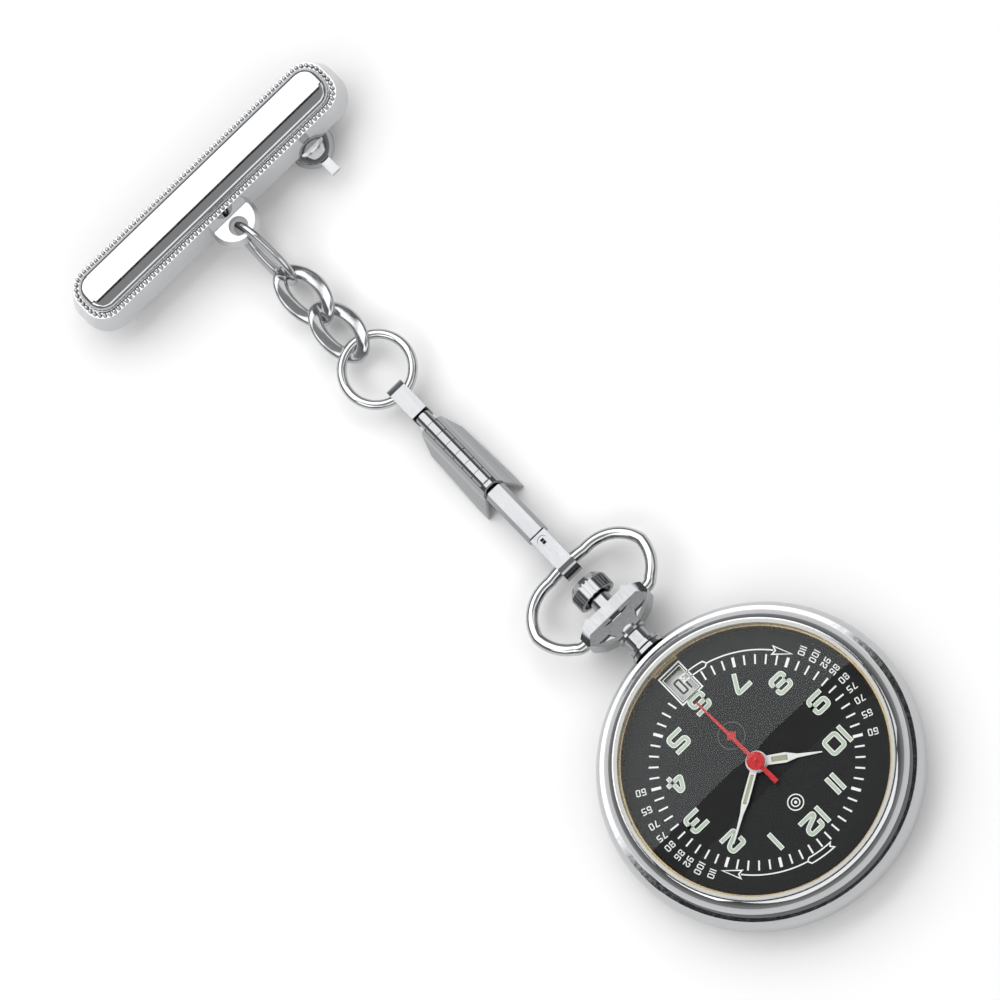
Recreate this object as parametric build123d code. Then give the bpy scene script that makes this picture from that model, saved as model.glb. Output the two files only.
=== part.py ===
from build123d import *
from math import cos, pi, radians, sin
import os

# Fob watch on a pin bar, in millimetres.
# The origin is the middle of the flat case back. +Z leaves the crystal, and +Y runs
# along the chain from the watch to the bar. All heights are above the case back.

# ---- watch head ----
CASE_RADIUS = 16.5
CASE_BOTTOM = 0.55
CASE_WAIST_HEIGHT = 3.4
CASE_TOP = 4.7
BACK_RADIUS = 14.9
BACK_THICKNESS = 0.8
BACK_LIP_HEIGHT = 0.45
BEZEL_BASE_RADIUS = 15.34
BEZEL_LIP_RADIUS = 14.08
BEZEL_TOP = 7.0
SEAT_RADIUS = 13.85
CRYSTAL_RADIUS = 13.75
CRYSTAL_BOTTOM = 6.5
CRYSTAL_EDGE_TOP = 7.1
CRYSTAL_DOME_TOP = 7.6
DIAL_RADIUS = 13.6
DIAL_BOTTOM = 5.0
DIAL_TOP = 5.4
DIAL_RING_TOP = 6.36
DATE_WINDOW_RADIUS = 11.1
DATE_WINDOW_WIDTH = 2.2
DATE_WINDOW_HEIGHT = 2.8

# ---- movement ----
MOVEMENT_RADIUS = 12.75
HOLDER_RADIUS = 14.15
PLATE_BOTTOM = 3.2
PLATE_TOP = 4.3
BRIDGE_BOTTOM = 1.6
BRIDGE_TOP = 1.95
BRIDGE_RADIUS = 6.2
PILLAR_ANGLES = (60, 178, 290)
WHEEL_THICKNESS = 0.15
MESH_GAP = 0.03
PIVOT_RADIUS = 0.16
PIVOT_DEPTH = 0.2
PIVOT_CLEARANCE = 0.05
SECONDS_WHEEL_RADIUS = 2.5
SECONDS_PINION_RADIUS = 0.45
THIRD_WHEEL_RADIUS = 3.375
THIRD_PINION_RADIUS = 0.425
CENTRE_WHEEL_RADIUS = 3.4
CANNON_RADIUS = 0.8
MINUTE_WHEEL_RADIUS = 2.4
MINUTE_PINION_RADIUS = 0.64
HOUR_WHEEL_RADIUS = 2.56
INTERMEDIATE_PINION_RADIUS = 0.5
INTERMEDIATE_WHEEL_RADIUS = 1.8
ROTOR_PINION_RADIUS = 0.3
ROTOR_MAGNET_RADIUS = 0.6
THIRD_ANGLE = 130
GEAR_ANGLE = 225
MINUTE_WHEEL_ANGLE = 0
SECONDS_ARBOR_RADIUS = 0.30
MINUTE_TUBE_RADIUS = 0.62
MINUTE_TUBE_BORE = 0.38
HOUR_TUBE_RADIUS = 0.95
HOUR_TUBE_BORE = 0.70
HOUR_HAND_BOTTOM = 5.52
MINUTE_HAND_BOTTOM = 5.80
SECONDS_HAND_BOTTOM = 6.08
HAND_THICKNESS = 0.14
HOUR_HAND_LENGTH = 6.6
MINUTE_HAND_LENGTH = 8.5
SECONDS_HAND_LENGTH = 8.5
HOUR_HAND_ANGLE = 306
MINUTE_HAND_ANGLE = 58.5
SECONDS_HAND_ANGLE = 178.6
BATTERY_RADIUS = 3.4
BATTERY_BOTTOM = 1.05
BATTERY_HEIGHT = 2.1
BATTERY_REACH = 8.7
BATTERY_ANGLE = -45
COIL_REACH = 9.6

# ---- crown and pendant ----
STEM_HEIGHT = 3.4
STEM_RADIUS = 0.45
STEM_SQUARE = 0.62
STEM_INNER_END = 7.6
CLUTCH_START = 8.4
CLUTCH_LENGTH = 1.3
CLUTCH_RADIUS = 0.95
CROWN_RADIUS = 2.12
CROWN_START = 23.85
CROWN_LENGTH = 2.14
CROWN_RIBS = 26
CROWN_PIPE_RADIUS = 1.12
TUBE_BORE = 0.55
TUBE_RADIUS = 0.95
NECK_RADIUS = 1.38
HEAD_START = 18.9
HEAD_TOP = 22.35
HEAD_HALF_WIDTH = 4.1
HEAD_HALF_DEPTH = 2.1
BOW_WIRE_RADIUS = 0.62
BOW_PIVOT_Y = 21.2
BOW_HALF_WIDTH = 7.1
BOW_WIDEST_Y = 25.3
BOW_TOP_Y = 28.95
BOW_HOLE_CLEARANCE = 0.06
BOW_DROOP = 8.9

# ---- clip ----
CHAIN_HEIGHT = 2.2
STRIP = 0.5
CLIP_HALF_WIDTH = 0.95
CLIP_HALF_DEPTH = 1.3
HOOK_BEND_Y = 28.7
HOOK_TIP_Y = 32.75
RING_BEND_Y = 52.9
CHANNEL_END_Y = 50.1
DIMPLE_Y = 31.85
DIMPLE_RADIUS = 0.6
DIMPLE_DEPTH = 0.12
GATE_HALF_WIDTH = 1.18
GATE_FACE_HALF_WIDTH = 0.75
GATE_START_Y = 32.9
GATE_SHOULDER_Y = 39.2
GATE_END_Y = 45.0
GATE_TONGUE_HALF_WIDTH = 0.8
SLIDE_START_Y = 38.0
SLIDE_END_Y = 48.4
RIB_COUNT = 7
RIB_PITCH = 1.36
RIB_START_Y = 40.1

# ---- ring and chain ----
RING_CENTRE_Y = 56.6
RING_RADIUS = 3.6
RING_WIRE_RADIUS = 0.5
LINK_WIRE_RADIUS = 0.43
LINK_LENGTH = 7.7
LINK_WIDTH = 5.3
LOWER_LINK_Y = 62.1
UPPER_LINK_Y = 67.25
LINK_TILT = 36
OVAL_WIRE_RADIUS = 0.38
OVAL_LENGTH = 8.6
OVAL_WIDTH = 4.4
OVAL_TOP_Y = 76.55
OVAL_TOP_Z = 4.4
OVAL_SLOPE = 19.7

# ---- pin bar ----
BAR_CENTRE_Y = 80.87
BAR_BOTTOM = 3.6
BAR_HALF_LENGTH = 17.4
BAR_HALF_WIDTH = 3.5
BAR_WALL_HEIGHT = 3.2
BAR_FLARE = 0.62
BAR_WALL_ANGLE = 11.0
BAR_CORNER = 2.9
BAR_SHEET = 0.45
DOME_RISE = 0.95
DOME_CROWN_RADIUS = 9.0
DOME_ROLL_RADIUS = 0.75
LUG_TOP = 4.9
LUG_THICKNESS = 1.0
LUG_RADIUS = 2.5
LUG_CENTRE_Y = 77.2
LUG_HOLE_RADIUS = 1.0
LUG_HOLE_Y = 76.35
PIN_Y = 79.0
PIN_Z = 2.0
PIN_RADIUS = 0.4
PIN_TIP_X = 14.8
HINGE_X = -11.8
CATCH_X = 10.7
CATCH_RADII = (2.65, 3.6, 2.0)
LOCK_RADIUS = 1.42
LOCK_BORE = 0.72
LOCK_CLEARANCE = 0.05
LEVER_REACH = 4.95
LEVER_WIDTH = 1.0
HINGE_HALF_WIDTH = 0.85
HINGE_EYE_RADIUS = 0.7
HINGE_EYE_WIDTH = 0.8
HINGE_BOTTOM = 1.15


# ---- shared shapes ----
def disc(radius, bottom, top, x=0.0, y=0.0):
    """A round disc between two heights."""
    return Pos(x, y, (bottom + top) / 2) * Cylinder(radius, top - bottom)


def tube(radius, bore, bottom, top, x=0.0, y=0.0):
    """A round tube between two heights."""
    return disc(radius, bottom, top, x, y) - disc(bore, bottom - 1, top + 1, x, y)


def block(x0, x1, y0, y1, z0, z1):
    """A box between two corners."""
    middle = Pos((x0 + x1) / 2, (y0 + y1) / 2, (z0 + z1) / 2)
    return middle * Box(x1 - x0, y1 - y0, z1 - z0)


def rod_y(radius, start, end, x=0.0, z=STEM_HEIGHT):
    """A round rod along Y."""
    return Pos(x, (start + end) / 2, z) * Rot(90, 0, 0) * Cylinder(radius, end - start)


def rod_x(radius, start, end, y, z):
    """A round rod along X."""
    return Pos((start + end) / 2, y, z) * Rot(0, 90, 0) * Cylinder(radius, end - start)


def turned(points):
    """A solid turned about the watch axis from its (radius, height) outline."""
    outline = Plane.XZ * Polyline(*points, close=True)
    return revolve(make_face(outline), Axis.Z)


def toothed(radius, teeth, bottom, top, x=0.0, y=0.0):
    """A toothed wheel whose tooth tips reach the radius."""
    root = radius * (1 - 2.2 / teeth)
    points = []
    for tooth in range(teeth):
        for share, reach in ((0.0, root), (0.3, root), (0.45, radius), (0.8, radius)):
            angle = 2 * pi * (tooth + share) / teeth
            points.append((reach * cos(angle), reach * sin(angle)))
    face = make_face(Polyline(*points, close=True))
    return Pos(x, y, bottom) * extrude(face, top - bottom)


def polar(reach, angle):
    """A point in plan at a distance and angle from the watch axis."""
    return reach * cos(radians(angle)), reach * sin(radians(angle))


def dial_turn(angle):
    """The turn that carries a hand drawn along -Y (twelve) to a dial angle."""
    return Rot(0, 0, -angle)


def stadium_link(length, width, wire_radius):
    """A flat chain link with round ends, long way along Y, at the origin."""
    half_width = width / 2 - wire_radius
    straight = length / 2 - wire_radius - half_width
    ends = [
        (half_width, -straight),
        (half_width, straight),
        (-half_width, straight),
        (-half_width, -straight),
    ]
    sides = [Line(ends[0], ends[1]), Line(ends[2], ends[3])]
    caps = [
        ThreePointArc(ends[1], (0, straight + half_width), ends[2]),
        ThreePointArc(ends[3], (0, -straight - half_width), ends[0]),
    ]
    path = Wire([sides[0], caps[0], sides[1], caps[1]])
    section = Plane(origin=(half_width, 0, 0), x_dir=(1, 0, 0), z_dir=(0, 1, 0))
    return sweep(section * Circle(wire_radius), path=path)


# ---- case ----
THIRD_X, THIRD_Y = polar(SECONDS_PINION_RADIUS + THIRD_WHEEL_RADIUS + MESH_GAP, THIRD_ANGLE)
GEAR_X, GEAR_Y = polar(
    INTERMEDIATE_PINION_RADIUS + SECONDS_WHEEL_RADIUS + MESH_GAP, GEAR_ANGLE
)
ROTOR_X, ROTOR_Y = polar(
    INTERMEDIATE_PINION_RADIUS + SECONDS_WHEEL_RADIUS + MESH_GAP
    + INTERMEDIATE_WHEEL_RADIUS + ROTOR_PINION_RADIUS + MESH_GAP,
    GEAR_ANGLE,
)
MINUTE_X, MINUTE_Y = polar(CANNON_RADIUS + MINUTE_WHEEL_RADIUS + MESH_GAP, MINUTE_WHEEL_ANGLE)
BATTERY_X, BATTERY_Y = polar(BATTERY_REACH, BATTERY_ANGLE)
COIL_X, COIL_Y = polar(COIL_REACH, GEAR_ANGLE)


def case_outer():
    """The convex outer form of the case band, filled to the watch axis."""
    outline = Plane.XZ * make_face(
        Wire([
            Line((0, CASE_BOTTOM), (15.5, CASE_BOTTOM)),
            ThreePointArc(
                (15.5, CASE_BOTTOM), (CASE_RADIUS, CASE_WAIST_HEIGHT), (15.9, CASE_TOP)
            ),
            Line((15.9, CASE_TOP), (0, CASE_TOP)),
            Line((0, CASE_TOP), (0, CASE_BOTTOM)),
        ])
    )
    return revolve(outline, Axis.Z)


def make_case_middle():
    """The convex band between the back and the bezel, bored for the pendant."""
    band = case_outer() - disc(HOLDER_RADIUS + 0.1, 0, 6)
    band -= disc(BACK_RADIUS + 0.05, 0, 1.3)
    return band - rod_y(TUBE_RADIUS, 13, 18)


def make_case_back():
    """The flat pressed-on back with its low upstanding lip and lifting notch."""
    plate = turned([
        (0, 0), (14.2, 0), (BACK_RADIUS, 0.3), (BACK_RADIUS, BACK_THICKNESS), (0, BACK_THICKNESS)
    ])
    lip = tube(HOLDER_RADIUS - 0.3, HOLDER_RADIUS - 0.9, BACK_THICKNESS,
               BACK_THICKNESS + BACK_LIP_HEIGHT)
    notch = block(-1.5, 1.5, -BACK_RADIUS - 1, -BACK_RADIUS + 0.5, -1, 0.35)
    return plate + lip - notch


def make_back_gasket():
    """The seal between the back and the case middle."""
    ring = Circle(0.22)
    placed = Plane.XZ * Pos(14.5, BACK_THICKNESS + 0.25) * ring
    return revolve(placed, Axis.Z)


def make_bezel():
    """The polished convex bezel that carries the crystal."""
    outline = Plane.XZ * make_face(
        Wire([
            Line((SEAT_RADIUS, CASE_TOP), (BEZEL_BASE_RADIUS, CASE_TOP)),
            Line((BEZEL_BASE_RADIUS, CASE_TOP), (BEZEL_BASE_RADIUS, 5.15)),
            ThreePointArc((BEZEL_BASE_RADIUS, 5.15), (15.02, 6.35), (14.25, BEZEL_TOP)),
            Line((14.25, BEZEL_TOP), (BEZEL_LIP_RADIUS, BEZEL_TOP)),
            Line((BEZEL_LIP_RADIUS, BEZEL_TOP), (BEZEL_LIP_RADIUS, CRYSTAL_BOTTOM - 0.1)),
            Line((BEZEL_LIP_RADIUS, CRYSTAL_BOTTOM - 0.1), (SEAT_RADIUS, CRYSTAL_BOTTOM - 0.1)),
            Line((SEAT_RADIUS, CRYSTAL_BOTTOM - 0.1), (SEAT_RADIUS, CASE_TOP)),
        ])
    )
    return revolve(outline, Axis.Z)


def make_crystal():
    """The slightly domed crystal with a flat underside."""
    rise = CRYSTAL_DOME_TOP - CRYSTAL_EDGE_TOP
    dome_radius = (CRYSTAL_RADIUS ** 2 + rise ** 2) / (2 * rise)
    blank = disc(CRYSTAL_RADIUS, CRYSTAL_BOTTOM, CRYSTAL_DOME_TOP)
    return blank & Pos(0, 0, CRYSTAL_DOME_TOP - dome_radius) * Sphere(dome_radius)


def make_crystal_gasket():
    """The clear press-in gasket around the crystal edge."""
    return tube(BEZEL_LIP_RADIUS, CRYSTAL_RADIUS, CRYSTAL_BOTTOM - 0.1, BEZEL_TOP)


def make_dial_ring():
    """The gold-coloured ring that stands on the dial edge under the crystal."""
    return turned([
        (13.25, DIAL_TOP), (SEAT_RADIUS - 0.05, DIAL_TOP),
        (SEAT_RADIUS - 0.05, DIAL_RING_TOP), (13.5, DIAL_RING_TOP)
    ])


def make_dial():
    """The flat dial with its date window and centre hole."""
    window = block(
        -DATE_WINDOW_WIDTH / 2, DATE_WINDOW_WIDTH / 2,
        DATE_WINDOW_RADIUS - DATE_WINDOW_HEIGHT / 2, DATE_WINDOW_RADIUS + DATE_WINDOW_HEIGHT / 2,
        DIAL_BOTTOM - 1, DIAL_TOP + 1,
    )
    return disc(DIAL_RADIUS, DIAL_BOTTOM, DIAL_TOP) - disc(1.15, 4, 6) - window


# ---- movement ----
def make_movement_holder():
    """The plastic ring that centres the movement in the case."""
    ring = tube(HOLDER_RADIUS, MOVEMENT_RADIUS + 0.05, 1.45, CASE_TOP - 0.05)
    ring += tube(DIAL_RADIUS, MOVEMENT_RADIUS + 0.05, CASE_TOP - 0.05, DIAL_BOTTOM)
    return ring - rod_y(TUBE_RADIUS, 11, 16)


def pivot_holes(bottom, top):
    """Bearing holes for the train arbors."""
    holes = disc(PIVOT_RADIUS + PIVOT_CLEARANCE, bottom, top, THIRD_X, THIRD_Y)
    holes += disc(PIVOT_RADIUS + PIVOT_CLEARANCE, bottom, top, GEAR_X, GEAR_Y)
    holes += disc(PIVOT_RADIUS + PIVOT_CLEARANCE, bottom, top, ROTOR_X, ROTOR_Y)
    return holes


def make_main_plate():
    """The plate that carries the train, cut away for the stem and its clutch."""
    plate = disc(MOVEMENT_RADIUS, PLATE_BOTTOM, PLATE_TOP)
    plate -= disc(MINUTE_TUBE_RADIUS + 0.06, 3, 5)
    plate -= pivot_holes(PLATE_BOTTOM - 0.1, PLATE_BOTTOM + PIVOT_DEPTH + 0.1)
    plate -= block(-1.2, 1.2, CLUTCH_START - 0.4, CLUTCH_START + 2.4, 3, 5)
    plate -= rod_y(STEM_RADIUS + 0.1, STEM_INNER_END - 0.6, 14)
    plate -= disc(PIVOT_RADIUS + PIVOT_CLEARANCE, PLATE_TOP - 0.4, 5, MINUTE_X, MINUTE_Y)
    return plate


def make_train_bridge():
    """The bridge that holds the lower pivots of the train."""
    bridge = disc(BRIDGE_RADIUS, BRIDGE_BOTTOM, BRIDGE_TOP)
    bridge -= disc(SECONDS_ARBOR_RADIUS + PIVOT_CLEARANCE, 1, 3)
    bridge -= pivot_holes(BRIDGE_BOTTOM - 0.1, BRIDGE_TOP + 0.1)
    bridge -= disc(BATTERY_RADIUS + 0.25, 1, 3, BATTERY_X, BATTERY_Y)
    for angle in PILLAR_ANGLES:
        x, y = polar(BRIDGE_RADIUS - 0.8, angle)
        bridge += disc(0.55, BRIDGE_TOP, PLATE_BOTTOM, x, y)
        bridge -= disc(0.3, 1, PLATE_BOTTOM + 1, x, y)
    return bridge


def make_bridge_screws():
    """Three screws that hold the bridge to the main plate."""
    screws = []
    for angle in PILLAR_ANGLES:
        x, y = polar(BRIDGE_RADIUS - 0.8, angle)
        head = disc(0.5, BRIDGE_BOTTOM - 0.3, BRIDGE_BOTTOM, x, y)
        slot = block(x - 0.6, x + 0.6, y - 0.08, y + 0.08, BRIDGE_BOTTOM - 0.4, BRIDGE_BOTTOM - 0.18)
        screws.append(head + disc(0.29, BRIDGE_BOTTOM, PLATE_BOTTOM, x, y) - slot)
    return Compound(children=screws)


def make_battery_cell():
    """The button cell, with its smaller negative cap towards the back."""
    top = BATTERY_BOTTOM + BATTERY_HEIGHT
    can = disc(BATTERY_RADIUS, BATTERY_BOTTOM + 0.3, top, BATTERY_X, BATTERY_Y)
    return can + disc(BATTERY_RADIUS - 0.6, BATTERY_BOTTOM, top, BATTERY_X, BATTERY_Y)


def make_battery_clip():
    """The contact strip under the cell."""
    strip = block(-1.0, 1.0, -BATTERY_RADIUS + 0.6, BATTERY_RADIUS + 0.5, 0.9, BATTERY_BOTTOM)
    return Pos(BATTERY_X, BATTERY_Y, 0) * Rot(0, 0, 45) * strip


def make_coil():
    """The stepping-motor coil, a long square winding on its core."""
    winding = Box(1.6, 7.0, 1.3)
    core = Box(0.7, 9.6, 0.4)
    return Pos(COIL_X, COIL_Y, 2.35) * Rot(0, 0, GEAR_ANGLE) * (winding + core)


def make_stator():
    """The flat stator around the rotor, with legs that reach the coil core."""
    bar = Box(1.6, 9.6, 0.3)
    legs = Pos(2.35, 4.2, 0) * Box(3.3, 1.1, 0.3)
    legs += Pos(2.35, -4.2, 0) * Box(3.3, 1.1, 0.3)
    plate = Pos(ROTOR_X, ROTOR_Y, 2.6) * Rot(0, 0, GEAR_ANGLE) * (bar + legs)
    plate += disc(ROTOR_MAGNET_RADIUS + 0.6, 2.45, 2.75, ROTOR_X, ROTOR_Y)
    plate -= disc(ROTOR_MAGNET_RADIUS + 0.2, 2, 3, ROTOR_X, ROTOR_Y)
    return plate


def make_circuit_board():
    """The thin crescent-shaped circuit board near the case back."""
    board = tube(12.2, 7.2, 1.3, 1.5)
    board -= block(-20, 20, 1.5, 20, 1, 2)
    board -= disc(BATTERY_RADIUS + 0.3, 1, 2, BATTERY_X, BATTERY_Y)
    board -= block(3.0, 20, -20, 20, 1, 2)
    return board


def make_quartz_can():
    """The small metal can of the quartz crystal."""
    return rod_y(0.75, -2.6, 3.4, x=8.4, z=2.2)


def arbor(x, y):
    """A wheel arbor with a pivot at each end."""
    shaft = disc(PIVOT_RADIUS, BRIDGE_TOP - PIVOT_DEPTH, PLATE_BOTTOM + PIVOT_DEPTH, x, y)
    return shaft + disc(PIVOT_RADIUS + 0.1, BRIDGE_TOP + 0.04, PLATE_BOTTOM - 0.04, x, y)


def make_seconds_wheel():
    """The seconds wheel, its pinion and the long arbor that carries the hand."""
    wheel = toothed(SECONDS_WHEEL_RADIUS, 60, 2.25, 2.25 + WHEEL_THICKNESS)
    wheel += toothed(SECONDS_PINION_RADIUS, 8, 2.4, 2.72)
    return wheel + disc(SECONDS_ARBOR_RADIUS, BRIDGE_TOP - PIVOT_DEPTH, SECONDS_HAND_BOTTOM)


def make_third_wheel():
    """The third wheel and its pinion."""
    wheel = toothed(THIRD_WHEEL_RADIUS, 60, 2.5, 2.65, THIRD_X, THIRD_Y)
    wheel += toothed(THIRD_PINION_RADIUS, 8, 2.65, 3.08, THIRD_X, THIRD_Y)
    return wheel + arbor(THIRD_X, THIRD_Y)


def make_centre_wheel():
    """The centre wheel, its tube and the cannon pinion for the minute hand."""
    wheel = toothed(CENTRE_WHEEL_RADIUS, 64, 2.85, 3.0)
    wheel += toothed(CANNON_RADIUS, 12, PLATE_TOP + 0.05, PLATE_TOP + 0.27)
    wheel += disc(MINUTE_TUBE_RADIUS, 2.85, MINUTE_HAND_BOTTOM)
    return wheel - disc(MINUTE_TUBE_BORE, 2.8, MINUTE_HAND_BOTTOM + 1)


def make_minute_wheel():
    """The minute wheel that gears the cannon pinion down to the hour wheel."""
    wheel = toothed(MINUTE_WHEEL_RADIUS, 36, 4.36, 4.51, MINUTE_X, MINUTE_Y)
    wheel += toothed(MINUTE_PINION_RADIUS, 10, 4.51, 4.82, MINUTE_X, MINUTE_Y)
    return wheel + disc(PIVOT_RADIUS, PLATE_TOP - 0.3, 4.36, MINUTE_X, MINUTE_Y)


def make_hour_wheel():
    """The hour wheel and its tube."""
    wheel = toothed(HOUR_WHEEL_RADIUS, 40, 4.64, 4.79)
    wheel += disc(HOUR_TUBE_RADIUS, 4.64, HOUR_HAND_BOTTOM)
    return wheel - disc(HOUR_TUBE_BORE, 4, 7)


def make_intermediate_wheel():
    """The wheel between the rotor and the seconds wheel."""
    wheel = toothed(INTERMEDIATE_WHEEL_RADIUS, 48, 2.03, 2.16, GEAR_X, GEAR_Y)
    wheel += toothed(INTERMEDIATE_PINION_RADIUS, 10, 2.16, 2.42, GEAR_X, GEAR_Y)
    return wheel + disc(PIVOT_RADIUS, BRIDGE_TOP - PIVOT_DEPTH, 2.6, GEAR_X, GEAR_Y)


def make_rotor():
    """The magnet rotor of the stepping motor with its pinion."""
    rotor = toothed(ROTOR_PINION_RADIUS, 8, 2.0, 2.2, ROTOR_X, ROTOR_Y)
    rotor += disc(ROTOR_MAGNET_RADIUS, 2.3, 3.0, ROTOR_X, ROTOR_Y)
    return rotor + arbor(ROTOR_X, ROTOR_Y)


def make_date_disc():
    """The date ring that turns under the dial."""
    return tube(12.5, 8.9, 4.4, 4.62)


# ---- hands, drawn along -Y at twelve and turned to ten past ten ----
def pierced_hand(length, hub_radius, hub_bore, bottom, widths, slot):
    """A hand with a wide pierced blade that narrows to a needle."""
    narrow, wide, needle = widths
    slot_start, slot_end, slot_half = slot
    outline = Polyline(
        (narrow, 0), (wide, -slot_end + 0.2), (needle, -slot_end - 1.0), (0.06, -length),
        (-0.06, -length), (-needle, -slot_end - 1.0), (-wide, -slot_end + 0.2), (-narrow, 0),
        close=True,
    )
    blade = extrude(make_face(outline), HAND_THICKNESS)
    blade -= block(-slot_half, slot_half, -slot_end, -slot_start, -1, 1)
    hand = blade + disc(hub_radius, 0, HAND_THICKNESS)
    hand -= disc(hub_bore, -1, 1)
    return Pos(0, 0, bottom) * hand


def make_hour_hand():
    """The short hand."""
    hand = pierced_hand(
        HOUR_HAND_LENGTH, 1.12, HOUR_TUBE_BORE, HOUR_HAND_BOTTOM,
        (0.45, 0.52, 0.2), (1.5, 3.1, 0.26)
    )
    return dial_turn(HOUR_HAND_ANGLE) * hand


def make_minute_hand():
    """The long hand."""
    hand = pierced_hand(
        MINUTE_HAND_LENGTH, 1.05, MINUTE_TUBE_BORE, MINUTE_HAND_BOTTOM,
        (0.34, 0.36, 0.17), (1.4, 4.4, 0.17)
    )
    return dial_turn(MINUTE_HAND_ANGLE) * hand


def make_seconds_hand():
    """The red hand with its round hub and counterweight tail."""
    outline = Polyline(
        (0.22, 0), (0.10, -SECONDS_HAND_LENGTH), (-0.10, -SECONDS_HAND_LENGTH), (-0.22, 0),
        (-0.27, 3.0), (0.27, 3.0), close=True,
    )
    hand = extrude(make_face(outline), HAND_THICKNESS)
    hand += disc(0.92, 0, HAND_THICKNESS + 0.12)
    return Pos(0, 0, SECONDS_HAND_BOTTOM) * dial_turn(SECONDS_HAND_ANGLE) * hand


# ---- stem, crown and pendant ----
def make_clutch_wheel():
    """The sliding pinion that the square of the stem turns."""
    end = CLUTCH_START + CLUTCH_LENGTH
    body = rod_y(CLUTCH_RADIUS - 0.12, CLUTCH_START, end)
    for step in range(8):
        turn = Pos(0, 0, STEM_HEIGHT) * Rot(0, step * 22.5, 0) * Pos(0, 0, -STEM_HEIGHT)
        tooth = block(-CLUTCH_RADIUS, CLUTCH_RADIUS, CLUTCH_START, CLUTCH_START + 0.5,
                      STEM_HEIGHT - 0.1, STEM_HEIGHT + 0.1)
        body += turn * tooth
    half = STEM_SQUARE / 2 + 0.04
    return body - block(-half, half, 7, 12, STEM_HEIGHT - half, STEM_HEIGHT + half)


def make_stem():
    """The winding stem, square through the clutch and round outside it."""
    half = STEM_SQUARE / 2
    square_end = CLUTCH_START + CLUTCH_LENGTH + 1.2
    square = block(-half, half, STEM_INNER_END, square_end, STEM_HEIGHT - half, STEM_HEIGHT + half)
    groove = rod_y(STEM_RADIUS + 0.5, 11.3, 11.6) - rod_y(0.3, 11.2, 11.7)
    return square + rod_y(STEM_RADIUS, square_end, CROWN_START + 0.3) - groove


def make_crown():
    """The ribbed crown with its hollow underside and pipe."""
    end = CROWN_START + CROWN_LENGTH
    body = rod_y(CROWN_RADIUS - 0.16, CROWN_START, end)
    rib = block(-0.15, 0.15, CROWN_START, end, CROWN_RADIUS - 0.5, CROWN_RADIUS)
    for step in range(CROWN_RIBS):
        turn = Pos(0, 0, STEM_HEIGHT) * Rot(0, step * 360 / CROWN_RIBS, 0)
        body += turn * rib
    nose = Pos(0, end - 0.6, STEM_HEIGHT) * Rot(-90, 0, 0) * Cone(
        CROWN_RADIUS + 0.35, CROWN_RADIUS - 0.55, 1.2
    )
    body &= rod_y(CROWN_RADIUS + 1, CROWN_START - 1, end - 1.2) + nose
    body -= rod_y(CROWN_RADIUS - 0.45, CROWN_START - 1, CROWN_START + 0.5)
    pipe = rod_y(CROWN_PIPE_RADIUS, 21.7, CROWN_START + 0.7)
    body += pipe
    return body - rod_y(STEM_RADIUS, 20, CROWN_START + 0.3)


def make_crown_gasket():
    """The small seal inside the crown tube."""
    ring = rod_y(TUBE_BORE, 17.0, 17.4)
    return ring - rod_y(STEM_RADIUS + 0.02, 16, 18)


def make_crown_tube():
    """The tube that leads the stem through the neck into the case."""
    tube_body = rod_y(TUBE_RADIUS, 14.3, 21.0)
    return tube_body - rod_y(TUBE_BORE, 14, 22)


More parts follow.
